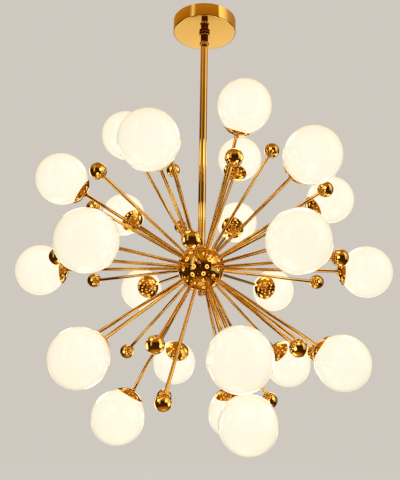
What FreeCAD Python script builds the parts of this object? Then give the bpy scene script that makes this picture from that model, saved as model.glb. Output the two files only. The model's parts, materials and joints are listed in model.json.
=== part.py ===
# A sputnik chandelier: a hub ball under a ceiling canopy carries five rings of thin arms,
# each ring holding opal globes and small brass balls in turn. Millimetres and degrees.
# The origin is on the ceiling, above the middle of the canopy, and +Z points up.
import FreeCAD, Part
import math
import os
import re
import Sketcher

# Every size that can be set by itself. "fit" and "gap" values are the clearances.
SIZES = {
    # the ball of arms
    "reach": 317,  # hub centre to globe centre
    "accent_reach": 280,  # hub centre to accent ball centre
    "hub_drop": 535,  # ceiling to hub centre
    "arm_dia": 6,
    "arm_bore": 3.6,
    "lead_dia": 2.4,
    "accent_ball_dia": 30,
    "accent_thread": 10,  # how far an accent arm screws into its ball
    # the five rings: latitude on the hub, and the compass turn of the first light
    "top_latitude": 60,
    "top_turn": 58,
    "upper_latitude": 30,
    "upper_turn": 12,
    "middle_latitude": -1,
    "middle_turn": -3,
    "lower_latitude": -34,
    "lower_turn": 43,
    "bottom_latitude": -62,
    "bottom_turn": 63,
    # globe and what grips it
    "globe_dia": 100,
    "globe_wall": 2,
    "globe_mouth_dia": 44,
    "globe_gap": 0.3,
    "cap_rim_dia": 53,
    "cap_depth": 11.3,
    "cap_wall": 0.8,
    "cap_collar_wall": 1.5,
    "cap_collar_height": 3,
    "cap_collar_edge": 0.5,
    "grip_wall": 0.8,
    "grip_length": 10,
    "grip_slot": 6,
    "holder_dia": 17,
    "holder_length": 16,
    "holder_thread": 4,
    "lamp_base_dia": 14,
    "lamp_base_length": 6,
    "lamp_pin_dia": 1.4,
    "lamp_pin_length": 5,
    "lamp_pin_spacing": 6,
    "capsule_dia": 13,
    "capsule_length": 26,
    # hub
    "hub_dia": 91,
    "hub_wall": 2,
    "hub_seam_drop": 13.7,  # hub centre down to the seam between its shells
    "lip_height": 3,
    "lip_wall": 1,
    "lip_gap": 0.1,
    "rod_seat_depth": 1,
    "finial_seat_depth": 0.6,
    "seat_gap": 0.15,
    "small_nut_wall": 1,  # thread to the flat of the nut
    "small_nut_height": 3,
    "thread_end": 2,  # thread that shows past a nut
    "junction_room": 23.5,  # wire junction to the hub's wall
    "stud_room": 4.9,  # finial stud's end to the stem's foot
    "coupler_length": 16,
    "finial_dia": 10.5,
    "finial_length": 10,
    "finial_stud_dia": 6,
    "finial_stud_length": 8,
    # rod and swivel
    "rod_dia": 15,
    "rod_gap": 1.9,  # sleeve mouth to rod end
    "rod_thread": 10,
    "sleeve_dia": 17,
    "sleeve_wall": 1.7,
    "sleeve_show": 28,  # length of sleeve below the canopy
    "bead_tube_dia": 6,
    "bead_inset": 1.5,  # sleeve's side in to the middle of the bead's rounding
    "swivel_fit": 0.3,  # ball to its seat
    "swivel_neck_wall": 1.2,
    "seat_lip": 1.5,  # how far the seat closes in under the ball
    "mouth_flare": 0.6,
    "pivot_rise": 6,  # sleeve mouth up to the pivot
    "plug_length": 10,
    "plug_end_gap": 1,  # nipple's foot to the plug's foot
    # canopy and its collar
    "canopy_dia": 132,
    "canopy_height": 28,
    "canopy_wall": 1.5,
    "canopy_edge": 0.5,  # inner radius of the rounded lower edge
    "canopy_gap": 0.3,
    "collar_wall": 3.2,
    "collar_height": 7,
    "collar_fit": 0.08,
    "collar_edge": 0.6,
    # ceiling bracket and its fixings
    "strap_end_room": 11,  # strap's end to the canopy's outside
    "strap_width": 22,
    "strap_thickness": 2.5,
    "strap_crank": 6,
    "strap_slope": 4,
    "slot_inset": 15,  # strap's end to the middle of its slot
    "slot_length": 14,
    "slot_width": 4.5,
    "nipple_dia": 10,
    "nipple_bore": 7,
    "nipple_top_drop": 1.5,
    "window_play": 0.8,  # the nipple's window is this much larger than the cable all round
    "window_gap": 0.25,  # top of the window to the cable
    "nut_wall": 2,  # thread to the flat of the nut
    "nut_height": 3.5,
    "washer_dia": 16,
    "washer_thickness": 1,
    "thread_fit": 0.05,
    "earth_screw_dia": 4,
    "earth_screw_length": 5.5,
    "earth_head_dia": 7.6,
    "earth_head_height": 2.4,
    "earth_washer_dia": 9,
    "earth_washer_thickness": 0.8,
    "earth_offset": 17,
    # supply
    "block_length": 24,
    "block_width": 12,
    "block_gap": 4.5,  # block to the canopy's floor
    "block_offset": 18,
    "block_edge": 1,
    "block_screw_dia": 3.2,
    "block_screw_depth": 4,
    "block_screw_sunk": 1,
    "block_pole_pitch": 8,
    "block_row_pitch": 6,
    "cable_dia": 4,
    "cable_bend": 5,
    "cable_play": 0.3,  # cable to the bore of the swivel ball
    "cable_gap": 1,  # between the fixed cable and the one that turns with the rod
    # cutting tools
    "past": 1,  # how far a tool runs past the face that it leaves by
}

# Lengths that follow from the sizes, each by name.
DERIVED = {
    "hub_radius": "hub_dia / 2",
    "hub_inner": "hub_dia / 2 - hub_wall",
    "globe_radius": "globe_dia / 2",
    "globe_inner": "globe_dia / 2 - globe_wall",
    "mouth_radius": "globe_mouth_dia / 2",
    "arm_radius": "arm_dia / 2",
    "arm_hole": "arm_dia / 2 + thread_fit",
    # a cap is part of a ball that passes through its rim and its crown
    "cap_ball": "(cap_rim_dia^2 / 4 + cap_depth^2) / (2 * cap_depth)",
    "cap_ball_inner": "cap_ball - cap_wall",
    "cap_rim_inner": "sqrt(cap_ball_inner^2 - (cap_ball - cap_depth)^2)",
    "cap_rim": "reach - sqrt(globe_radius^2 - cap_rim_inner^2) - globe_gap",
    "cap_crown": "cap_rim - cap_depth",
    "cap_centre": "cap_crown + cap_ball",
    "small_nut_across": "arm_dia + 2 * small_nut_wall",
    "small_nut_corner": "small_nut_across / sqrt(3)",
    "cap_nut_face": "cap_centre - sqrt(cap_ball_inner^2 - small_nut_corner^2) + thread_fit",
    "grip_radius": "mouth_radius - globe_gap",
    # the gripper sits in the cap, or on the nut where that stands higher
    "grip_in_cap": "cap_centre - sqrt(cap_ball_inner^2 - grip_radius^2) + globe_gap",
    "grip_base": "max(grip_in_cap; cap_nut_face + small_nut_height + thread_fit)",
    "holder_base": "grip_base + grip_wall",
    "holder_end": "holder_base + holder_length",
    "arm_end": "holder_base + holder_thread",
    "lamp_base_start": "holder_end + thread_fit",
    "capsule_start": "lamp_base_start + lamp_base_length",
    "capsule_end": "capsule_start + capsule_length",
    "nut_seat": "sqrt(hub_inner^2 - small_nut_corner^2) - thread_fit",
    "arm_start": "nut_seat - small_nut_height - thread_end",
    "accent_end": "accent_reach - accent_ball_dia / 2 + accent_thread",
    "junction_radius": "hub_inner - junction_room",
    "lead_start": "junction_radius + thread_fit",
    "nipple_radius": "nipple_dia / 2",
    "nipple_hole": "nipple_dia / 2 + thread_fit",
    "nut_across": "nipple_dia + 2 * nut_wall",
    "nut_corner": "nut_across / sqrt(3)",
    "stem_window": "nipple_bore / 3",
    "rod_radius": "rod_dia / 2",
    "rod_seat": "hub_radius - rod_seat_depth",
    "rod_top": "canopy_height + sleeve_show + rod_gap",
    "finial_seat": "hub_radius - finial_seat_depth",
    "finial_hole": "finial_stud_dia / 2 + thread_fit",
    "seam_outer": "sqrt(hub_radius^2 - hub_seam_drop^2)",
    "seam_inner": "sqrt(hub_inner^2 - hub_seam_drop^2)",
    "lip_outer": "seam_inner - lip_gap",
    "lip_inner": "lip_outer - lip_wall",
    "stem_nut_face": "sqrt(hub_inner^2 - nut_corner^2) - thread_fit",
    "stem_foot": "finial_seat - finial_stud_length - stud_room",
    "coupler_foot": "sqrt(hub_inner^2 - nut_corner^2) - thread_fit",
    "coupler_top": "coupler_foot - coupler_length",
    "mouth_drop": "canopy_height + sleeve_show",
    "pivot_drop": "mouth_drop - pivot_rise",
    "seat_ball": "sleeve_dia / 2 - sleeve_wall",
    "swivel_ball": "seat_ball - swivel_fit",
    "swivel_bore": "cable_dia / 2 + cable_play",
    "swivel_neck": "swivel_bore + swivel_neck_wall",
    "seat_mouth": "swivel_ball - seat_lip",
    "seat_drop": "sqrt(seat_ball^2 - seat_mouth^2)",
    "bead_tube": "bead_tube_dia / 2",
    "bead_ring": "sleeve_dia / 2 - bead_inset",
    "bead_rise": "sqrt(bead_tube^2 - bead_inset^2)",
    "strap_face": "strap_crank + strap_thickness",
    "lower_nut_face": "strap_face + washer_thickness",
    "plug_top": "lower_nut_face + nut_height + cable_room",
    "nipple_window": "cable_dia + 2 * window_play",
    "cable_room": "nipple_window + 2 * window_wall",
    "window_wall": "(nipple_dia - nipple_bore) / 4",
    "cable_drop": "plug_top - window_wall - nipple_window + window_gap + cable_dia / 2",
    "strap_length": "canopy_dia - 2 * strap_end_room",
    "strap_middle": "2 * block_offset + block_width",
    "slot_spacing": "strap_length - 2 * slot_inset",
    "block_height": "canopy_floor - strap_face - block_gap",
    "canopy_radius": "canopy_dia / 2",
    "canopy_floor": "canopy_height - canopy_wall",
    "outer_edge": "canopy_edge + canopy_wall",
}

# One ring of arms each: its name, and how many lights (and as many accent balls) it has.
RINGS = [("top", 3), ("upper", 6), ("middle", 6), ("lower", 6), ("bottom", 3)]

doc = FreeCAD.newDocument("sputnik_chandelier")
sheet = doc.addObject("Spreadsheet::Sheet", "Sizes")
for row, (name, size) in enumerate(SIZES.items(), start=1):
    sheet.set(f"A{row}", name)
    sheet.set(f"B{row}", str(size))
    sheet.setAlias(f"B{row}", name)
doc.recompute()
pieces = []


def bound(text):
    """The expression for text, with derived names opened up and sizes read from the sheet."""

    def swap(match):
        word = match.group(0)
        if word in DERIVED:
            return "(" + bound(DERIVED[word]) + ")"
        return "Sizes." + word if word in SIZES else word

    return re.sub(r"[A-Za-z_]\w*", swap, str(text))


def measure(text):
    """The length that an expression has now."""
    return float(sheet.evalExpression(bound(text)))


def bind(item, **lengths):
    """Ties properties of an object to expressions."""
    for prop, text in lengths.items():
        item.setExpression(prop, bound(text))
    return item


def place(item, x=0, y=0, z=0, turn="rotation(0; 0; 0)"):
    """Ties an object's placement to expressions."""
    item.setExpression("Placement", bound(f"placement(vector({x}; {y}; {z}); {turn})"))
    return item


def keep(item, label):
    """Names an object as one sub-part of the chandelier."""
    item.Label = label
    pieces.append(item)
    return item


def draw(body, plane, outline):
    """A closed sketch. A corner is (x, y), or (x, y, radius, "ccw" or "cw") where an arc follows it."""
    sketch = body.newObject("Sketcher::SketchObject", "Outline")
    origin = [feature for feature in body.Origin.OriginFeatures if feature.Role == plane]
    sketch.AttachmentSupport = [(origin[0], "")]
    sketch.MapMode = "FlatFace"
    points = [FreeCAD.Vector(measure(corner[0]), measure(corner[1]), 0) for corner in outline]
    ends = []
    for here, there, corner in zip(points, points[1:] + points[:1], outline):
        if len(corner) == 2:
            sketch.addGeometry(Part.LineSegment(here, there), False)
            ends.append((1, 2))
            continue
        radius = measure(corner[2])
        left = corner[3] == "ccw"
        run = there - here
        rise = math.sqrt(max(radius**2 - run.Length**2 / 4, 0)) / run.Length
        side = FreeCAD.Vector(-run.y, run.x, 0) * (rise if left else -rise)
        centre = here + run * 0.5 + side
        first, last = (here, there) if left else (there, here)
        angles = [math.atan2(end.y - centre.y, end.x - centre.x) for end in (first, last)]
        circle = Part.Circle(centre, FreeCAD.Vector(0, 0, 1), radius)
        sketch.addGeometry(Part.ArcOfCircle(circle, angles[0], angles[1]), False)
        ends.append((1, 2) if left else (2, 1))
    for run, corner in enumerate(outline):
        following = (run + 1) % len(outline)
        meeting = (run, ends[run][1], following, ends[following][0])
        sketch.addConstraint(Sketcher.Constraint("Coincident", *meeting))
        for axis, text in (("DistanceX", corner[0]), ("DistanceY", corner[1])):
            here = Sketcher.Constraint(axis, -1, 1, run, ends[run][0], measure(text))
            index = sketch.addConstraint(here)
            sketch.setExpression(f"Constraints[{index}]", bound(text))
        if len(corner) > 2:
            index = sketch.addConstraint(Sketcher.Constraint("Radius", run, measure(corner[2])))
            sketch.setExpression(f"Constraints[{index}]", bound(corner[2]))
    return sketch


def turned(name, outline):
    """A body turned on a lathe: corners are (radius, height)."""
    body = doc.addObject("PartDesign::Body", name)
    sketch = draw(body, "XZ_Plane", outline)
    spin = body.newObject("PartDesign::Revolution", "Turning")
    spin.Profile = sketch
    spin.ReferenceAxis = (sketch, ["V_Axis"])
    spin.Angle = 360
    return body


def tube(name, bore, radius, low, high):
    """A plain round tube, or a rod where its bore is 0."""
    return turned(name, [(bore, low), (radius, low), (radius, high), (bore, high)])


def rod(name, radius, length, **where):
    """A plain cylinder, used alone or as a cutting tool."""
    item = bind(doc.addObject("Part::Cylinder", name), Radius=radius, Height=length)
    return place(item, **where)


def box(name, length, width, height, **where):
    """A plain block, used alone or as a cutting tool."""
    item = bind(doc.addObject("Part::Box", name), Length=length, Width=width, Height=height)
    return place(item, **where)


def cut(name, base, tool):
    """What is left of base where tool goes through it."""
    item = doc.addObject("Part::Cut", name)
    item.Base = base
    item.Tool = tool
    return item


def group(name, members):
    """Separate solids kept together."""
    item = doc.addObject("Part::Compound", name)
    item.Links = members
    return item


def fused(name, members):
    """Solids grown into one."""
    item = doc.addObject("Part::MultiFuse", name)
    item.Shapes = members
    item.Refine = True
    return item


def copy(pattern, name, **where):
    """One more of a pattern, somewhere else."""
    item = doc.addObject("App::Link", name)
    item.LinkedObject = pattern
    return place(item, **where)


def hexagon(name, across, height, low):
    """A six-sided bar, measured across its flats, whose lower face is at the height low."""
    item = doc.addObject("Part::Prism", name)
    item.Polygon = 6
    bind(item, Circumradius=f"({across}) / sqrt(3)", Height=height)
    return place(item, z=low)


def hex_nut(name, across, bore, height, low):
    """A hexagon nut whose lower face is at the height low."""
    block = hexagon(name + "_hexagon", across, height, low)
    return cut(name, block, rod(name + "_bore", bore, height, z=low))


def arm_turns(kind, rings=RINGS):
    """The direction of each light or accent arm, as a rotation that lays +Z along it."""
    turns = []
    for ring, lights in rings:
        step = 360 / lights
        start = 0 if kind == "light" else step / 2
        for number in range(lights):
            yaw = f"{ring}_turn + {start + number * step}"
            turns.append(f"rotation({yaw}; 90 - {ring}_latitude; 0)")
    return turns


def spread(name, pattern, turns, centre="0 - hub_drop"):
    """A copy of a pattern on each arm; the pattern's +Z runs outwards from the hub centre."""
    copies = [copy(pattern, f"{name}_copy", z=centre, turn=turn) for turn in turns]
    return group(name, copies)


LIGHTS = arm_turns("light")
ACCENTS = arm_turns("accent")


# ---- what is fixed to the ceiling ----


def ceiling_bracket():
    """A cranked strap: its ends lie on the ceiling, its lowered middle carries the weight."""
    body = doc.addObject("PartDesign::Body", "strap")
    half, inner, outer = "strap_length / 2", "strap_middle / 2", "strap_middle / 2 + strap_slope"
    low, thick = "0 - strap_crank", "strap_thickness"
    top = [(f"0 - {half}", 0), (f"0 - ({outer})", 0), (f"0 - {inner}", low), (inner, low), (outer, 0), (half, 0)]
    under = [(x, f"{z} - {thick}") for x, z in reversed(top)]
    pad = body.newObject("PartDesign::Pad", "Strap")
    pad.Profile = draw(body, "XZ_Plane", top + under)
    pad.setExpression("Length", bound("strap_width"))
    pad.Midplane = True
    slot = doc.addObject("PartDesign::Body", "slot_pattern")
    run, radius = "(slot_length - slot_width) / 2", "slot_width / 2"
    end, back = f"{run} + {radius}", f"0 - ({run}) - {radius}"
    corners = [
        (f"0 - {run}", f"0 - {radius}"),
        (run, f"0 - {radius}", radius, "ccw"),
        (end, 0, radius, "ccw"),
        (run, radius),
        (f"0 - {run}", radius, radius, "ccw"),
        (back, 0, radius, "ccw"),
    ]
    punch = slot.newObject("PartDesign::Pad", "Slot")
    punch.Profile = draw(slot, "XY_Plane", corners)
    punch.setExpression("Length", bound("2 * strap_face"))
    tools = []
    for side in (1, -1):
        tools.append(copy(slot, "slot_copy", x=f"{side} * slot_spacing / 2", z="0 - strap_face"))
    earth = "earth_screw_dia / 2 + thread_fit"
    for name, hole, x in (("nipple_way", "nipple_hole", 0), ("earth_way", earth, "earth_offset")):
        tools.append(rod(name, hole, "strap_face + 2 * past", x=x, z="0 - strap_face - past"))
    keep(cut("bracket", body, group("bracket_holes", tools)), "ceiling_bracket")


def nipple_and_nuts():
    """The threaded tube that hangs in the bracket, with a window for the cable, and its nuts."""
    top = "0 - nipple_top_drop"
    foot = "0 - (plug_top + plug_length - plug_end_gap)"
    body = tube("nipple_tube", "nipple_bore / 2", "nipple_radius", foot, top)
    height = "nipple_window"
    where = {"x": "0 - nipple_dia", "y": f"0 - {height} / 2", "z": "0 - (plug_top - window_wall)"}
    window = box("nipple_window", "nipple_dia", height, height, **where)
    keep(cut("nipple", body, window), "hanger_nipple")
    upper = hex_nut("upper_nut", "nut_across", "nipple_hole", "nut_height", "0 - strap_crank")
    lower = hex_nut("lower_nut", "nut_across", "nipple_hole", "nut_height", "0 - lower_nut_face - nut_height")
    keep(group("nipple_nuts", [upper, lower]), "nipple_locknuts")
    keep(tube("washer", "nipple_hole", "washer_dia / 2", "0 - lower_nut_face", "0 - strap_face"), "lock_washer")


def earth_terminal():
    """A pan-head screw and its washer, for the earth wire, under the bracket."""
    under = "0 - strap_face - earth_washer_thickness"
    shank, head = "earth_screw_dia / 2", "earth_head_dia / 2"
    rim = f"{under} - earth_head_height / 2"
    outline = [
        (0, f"{under} - earth_head_height"),
        (f"{head} - earth_head_height / 2", f"{under} - earth_head_height", "earth_head_height / 2", "ccw"),
        (head, rim),
        (head, under),
        (shank, under),
        (shank, f"{under} + earth_screw_length"),
        (0, f"{under} + earth_screw_length"),
    ]
    keep(place(turned("earth", outline), x="earth_offset"), "earth_screw")
    hole = "earth_screw_dia / 2 + thread_fit"
    washer = tube("earth_ring", hole, "earth_washer_dia / 2", under, "0 - strap_face")
    keep(place(washer, x="earth_offset"), "earth_washer")


def terminal_block():
    """The block that joins the house wires to the supply cable, with its six clamp screws."""
    body = doc.addObject("PartDesign::Body", "block_body")
    half, side, cut_off = "block_width / 2", "block_length / 2", "block_edge"
    corners = [
        (f"0 - {half}", f"0 - {side} + {cut_off}"),
        (f"0 - {half} + {cut_off}", f"0 - {side}"),
        (f"{half} - {cut_off}", f"0 - {side}"),
        (half, f"0 - {side} + {cut_off}"),
        (half, f"{side} - {cut_off}"),
        (f"{half} - {cut_off}", side),
        (f"0 - {half} + {cut_off}", side),
        (f"0 - {half}", f"{side} - {cut_off}"),
    ]
    pad = body.newObject("PartDesign::Pad", "Block")
    pad.Profile = draw(body, "XY_Plane", corners)
    pad.setExpression("Length", bound("block_height"))
    low = "0 - strap_face - block_height"
    place(body, x="0 - block_offset", z=low)
    holes = []
    screws = []
    radius, deep, sunk = "block_screw_dia / 2", "block_screw_depth", "block_screw_sunk"
    for pole in (-1, 0, 1):
        for row in (-1, 1):
            x = f"0 - block_offset + {row} * block_row_pitch / 2"
            spot = {"x": x, "y": f"{pole} * block_pole_pitch"}
            holes.append(rod("screw_hole", f"{radius} + thread_fit", deep, z=low, **spot))
            screws.append(rod("block_screw", radius, f"{deep} - {sunk}", z=f"{low} + {sunk}", **spot))
    keep(cut("block", body, group("screw_holes", holes)), "terminal_block")
    keep(group("block_screws", screws), "terminal_screws")


def supply_cable():
    """The fixed cable: out of the block, in at the nipple's window and down to the swivel ball."""
    radius, level = "cable_dia / 2", "0 - cable_drop"
    along = "block_offset - block_width / 2 - cable_bend"
    foot = "pivot_drop - swivel_ball - 2 * cable_gap"
    sideways = {"x": f"0 - cable_bend - ({along})", "turn": "rotation(0; 90; 0)"}
    into = rod("cable_in", radius, along, z=level, **sideways)
    bend = bind(doc.addObject("Part::Torus", "cable_turn"), Radius1="cable_bend", Radius2=radius)
    bend.Angle3 = 90
    place(bend, x="0 - cable_bend", z=f"{level} - cable_bend", turn="rotation(0; 0; 90)")
    down = rod("cable_down", radius, f"{foot} - cable_drop - cable_bend", z=f"0 - ({foot})")
    keep(fused("cable", [into, bend, down]), "supply_cable")


def swivel():
    """The sleeve with its bead and ball seat, the plug in its top, and the hollow ball in its mouth."""
    top, mouth, pivot = "0 - plug_top", "0 - mouth_drop", "0 - pivot_drop"
    sleeve = [
        ("sleeve_dia / 2", top),
        ("seat_ball", top),
        ("seat_ball", pivot, "seat_ball", "cw"),
        ("seat_mouth", f"{pivot} - seat_drop"),
        ("seat_mouth + mouth_flare", mouth),
        ("bead_ring", mouth, "bead_tube", "ccw"),
        ("sleeve_dia / 2", f"{mouth} + bead_tube + bead_rise"),
    ]
    keep(turned("sleeve", sleeve), "swivel_sleeve")
    plug_foot = f"{top} - plug_length"
    keep(tube("plug", "nipple_hole", "seat_ball - thread_fit", plug_foot, top), "swivel_plug")
    ball, neck, bore, shoulder = "swivel_ball", "swivel_neck", "swivel_bore", "0 - rod_top"
    stem = [
        (bore, f"{shoulder} - rod_thread"),
        ("nipple_radius", f"{shoulder} - rod_thread"),
        ("nipple_radius", shoulder),
        (neck, shoulder),
        (neck, f"{pivot} - sqrt({ball}^2 - {neck}^2)", ball, "ccw"),
        (bore, f"{pivot} + sqrt({ball}^2 - {bore}^2)"),
    ]
    keep(turned("ball", stem), "swivel_ball")


# ---- canopy and collar ----


def canopy_and_collar():
    """The shallow cup over the bracket, and the ring on the sleeve that holds it up."""
    hole, rim, wall = "sleeve_dia / 2 + canopy_gap", "canopy_radius", "canopy_wall"
    face, floor = "0 - canopy_height", "0 - canopy_floor"
    cup = [
        (hole, face),
        (f"{rim} - outer_edge", face, "outer_edge", "ccw"),
        (rim, f"{face} + outer_edge"),
        (rim, 0),
        (f"{rim} - {wall}", 0),
        (f"{rim} - {wall}", f"{face} + outer_edge", "canopy_edge", "cw"),
        (f"{rim} - outer_edge", floor),
        (hole, floor),
    ]
    keep(turned("cup", cup), "canopy")
    fit, out, edge = "sleeve_dia / 2 + collar_fit", "sleeve_dia / 2 + collar_wall", "collar_edge"
    foot = f"{face} - collar_height"
    ring = [
        (fit, foot),
        (f"{out} - {edge}", foot, edge, "ccw"),
        (out, f"{foot} + {edge}"),
        (out, f"{face} - {edge}", edge, "ccw"),
        (f"{out} - {edge}", face),
        (fit, face),
    ]
    keep(turned("ring", ring), "collar_ring")


# ---- rod and hub ----


def rod_and_cable():
    """The downrod, tapped at both ends, and the cable that turns with it."""
    low = "rod_seat - hub_drop"
    keep(tube("rod_tube", "nipple_hole", "rod_radius", low, "0 - rod_top"), "downrod")
    top = "0 - (pivot_drop - swivel_ball - cable_gap)"
    keep(rod("cable_below", "cable_dia / 2", f"{top} + hub_drop", z="0 - hub_drop"), "rod_cable")


def arm_holes(rings):
    """Round holes through the hub wall, one for each arm of these rings."""
    tool = rod("hole_tool", "arm_hole", "hub_wall + 2 * past", z="hub_inner - past")
    turns = arm_turns("light", rings) + arm_turns("accent", rings)
    holder = group("hole_pattern", [tool])
    return spread("arm_holes", holder, turns, centre=0)


def hub():
    """Two shells that lap at a hairline seam, drilled for every arm."""
    seat, hole = "rod_radius + seat_gap", "nipple_hole"
    seam = "0 - hub_seam_drop"
    upper = [
        ("seam_outer", seam, "hub_radius", "ccw"),
        (seat, f"sqrt(hub_radius^2 - ({seat})^2)"),
        (seat, "rod_seat"),
        (hole, "rod_seat"),
        (hole, f"sqrt(hub_inner^2 - {hole}^2)", "hub_inner", "cw"),
        ("seam_inner", seam),
    ]
    seat, hole = "finial_dia / 2 + seat_gap", "finial_hole"
    lower = [
        (seat, f"0 - sqrt(hub_radius^2 - ({seat})^2)", "hub_radius", "ccw"),
        ("seam_outer", seam),
        ("lip_outer", seam),
        ("lip_outer", f"{seam} + lip_height"),
        ("lip_inner", f"{seam} + lip_height"),
        ("lip_inner", "0 - sqrt(hub_inner^2 - lip_inner^2)", "hub_inner", "cw"),
        (hole, f"0 - sqrt(hub_inner^2 - {hole}^2)"),
        (hole, "0 - finial_seat"),
        (seat, "0 - finial_seat"),
    ]
    shells = (("hub_upper_shell", upper, RINGS[:3]), ("hub_lower_shell", lower, RINGS[3:]))
    for label, outline, rings in shells:
        shell = cut(label + "_drilled", turned(label + "_blank", outline), arm_holes(rings))
        keep(place(shell, z="0 - hub_drop"), label)


def hub_fixings():
    """The threaded stem in the hub, its nut, the wire junction, and the finial and its coupler."""
    top, foot = "rod_seat + rod_thread", "0 - stem_foot"
    stem = tube("stem_tube", "nipple_bore / 2", "nipple_radius", foot, top)
    window = rod("stem_window", "stem_window", "nipple_dia", turn="rotation(0; 90; 0)")
    keep(place(cut("stem", stem, window), z="0 - hub_drop"), "hub_stem")
    nut = hex_nut("hub_nut", "nut_across", "nipple_hole", "nut_height", "stem_nut_face - nut_height")
    keep(place(nut, z="0 - hub_drop"), "stem_nut")
    ball, bore = "junction_radius", "nipple_hole"
    rise = f"sqrt({ball}^2 - {bore}^2)"
    junction = turned("junction", [(bore, f"0 - {rise}", ball, "ccw"), (bore, rise)])
    keep(place(junction, z="0 - hub_drop"), "wire_junction")
    step, low, high = "0 - stem_foot - thread_fit", "0 - coupler_foot - past", "0 - coupler_top + past"
    stepped = [
        (0, low),
        ("finial_hole", low),
        ("finial_hole", step),
        ("nipple_hole", step),
        ("nipple_hole", high),
        (0, high),
    ]
    bar = hexagon("coupler_hexagon", "nut_across", "coupler_length", "0 - coupler_foot")
    keep(place(cut("coupler", bar, turned("coupler_bore", stepped)), z="0 - hub_drop"), "finial_coupler")
    radius, stud, face = "finial_dia / 2", "finial_stud_dia / 2", "0 - finial_seat"
    finial = [
        (0, f"{face} - finial_length"),
        (f"{radius} / 2", f"{face} - finial_length", f"{radius} / 2", "ccw"),
        (radius, f"{face} - finial_length + {radius} / 2"),
        (radius, face),
        (stud, face),
        (stud, f"{face} + finial_stud_length"),
        (0, f"{face} + finial_stud_length"),
    ]
    keep(place(turned("finial_turned", finial), z="0 - hub_drop"), "finial")


# ---- arms, accent balls, and what each light arm carries ----


def arms():
    """Tubes to the lights, rods to the accent balls, and the nuts that hold them in the hub."""
    light = tube("light_arm", "arm_bore / 2", "arm_radius", "arm_start", "arm_end")
    keep(spread("light_arm_set", light, LIGHTS), "light_arms")
    accent = tube("accent_arm", 0, "arm_radius", "arm_start", "accent_end")
    keep(spread("accent_arm_set", accent, ACCENTS), "accent_arms")
    nut = hex_nut("arm_nut", "small_nut_across", "arm_hole", "small_nut_height", "nut_seat - small_nut_height")
    keep(spread("arm_nut_set", nut, LIGHTS + ACCENTS), "arm_nuts")
    blind = "holder_thread + thread_fit"
    lead = rod("arm_lead", "lead_dia / 2", f"holder_base + {blind} - lead_start", z="lead_start")
    keep(spread("arm_lead_set", group("lead_pattern", [lead]), LIGHTS), "arm_leads")


def accent_balls():
    """Solid brass balls, each drilled and tapped for its arm."""
    radius, hole, centre = "accent_ball_dia / 2", "arm_hole", "accent_reach"
    outline = [
        (hole, f"{centre} - sqrt(({radius})^2 - {hole}^2)", radius, "ccw"),
        (radius, centre, radius, "ccw"),
        (0, f"{centre} + {radius}"),
        (0, "accent_end + thread_fit"),
        (hole, "accent_end + thread_fit"),
    ]
    keep(spread("accent_ball_set", turned("accent_ball", outline), ACCENTS), "accent_balls")


def caps():
    """The shallow domes behind the globes, each between a collar and a nut on its arm."""
    hole = "arm_hole"
    dome = [
        (hole, f"cap_centre - sqrt(cap_ball^2 - {hole}^2)", "cap_ball", "ccw"),
        ("cap_rim_dia / 2", "cap_rim"),
        ("cap_rim_inner", "cap_rim", "cap_ball_inner", "cw"),
        (hole, f"cap_centre - sqrt(cap_ball_inner^2 - {hole}^2)"),
    ]
    keep(spread("cap_set", turned("cap", dome), LIGHTS), "fitter_caps")
    edge, out = "cap_collar_edge", "arm_radius + cap_collar_wall"
    low, high = "cap_crown - cap_collar_height", "cap_crown"
    collar = [
        (hole, low),
        (f"{out} - {edge}", low),
        (out, f"{low} + {edge}"),
        (out, high),
        (hole, high),
    ]
    keep(spread("cap_collar_set", turned("cap_collar", collar), LIGHTS), "cap_collars")
    nut = hex_nut("cap_nut", "small_nut_across", hole, "small_nut_height", "cap_nut_face")
    keep(spread("cap_nut_set", nut, LIGHTS), "cap_nuts")


def grippers():
    """Spring cups whose four fingers grip the globe's mouth from inside."""
    out, base, wall, hole = "grip_radius", "grip_base", "grip_wall", "arm_hole"
    outline = [
        (hole, base),
        (out, base),
        (out, f"{base} + grip_length"),
        (f"{out} - {wall}", f"{base} + grip_length"),
        (f"{out} - {wall}", f"{base} + {wall}"),
        (hole, f"{base} + {wall}"),
    ]
    slots = []
    for long, wide in (("globe_mouth_dia", "grip_slot"), ("grip_slot", "globe_mouth_dia")):
        where = {"x": f"0 - {long} / 2", "y": f"0 - {wide} / 2", "z": f"{base} + 2 * {wall}"}
        slots.append(box("finger_slot", long, wide, "grip_length", **where))
    cup = cut("grip_cup", turned("grip_blank", outline), group("finger_slots", slots))
    keep(spread("grip_set", cup, LIGHTS), "gripper_cups")


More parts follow.
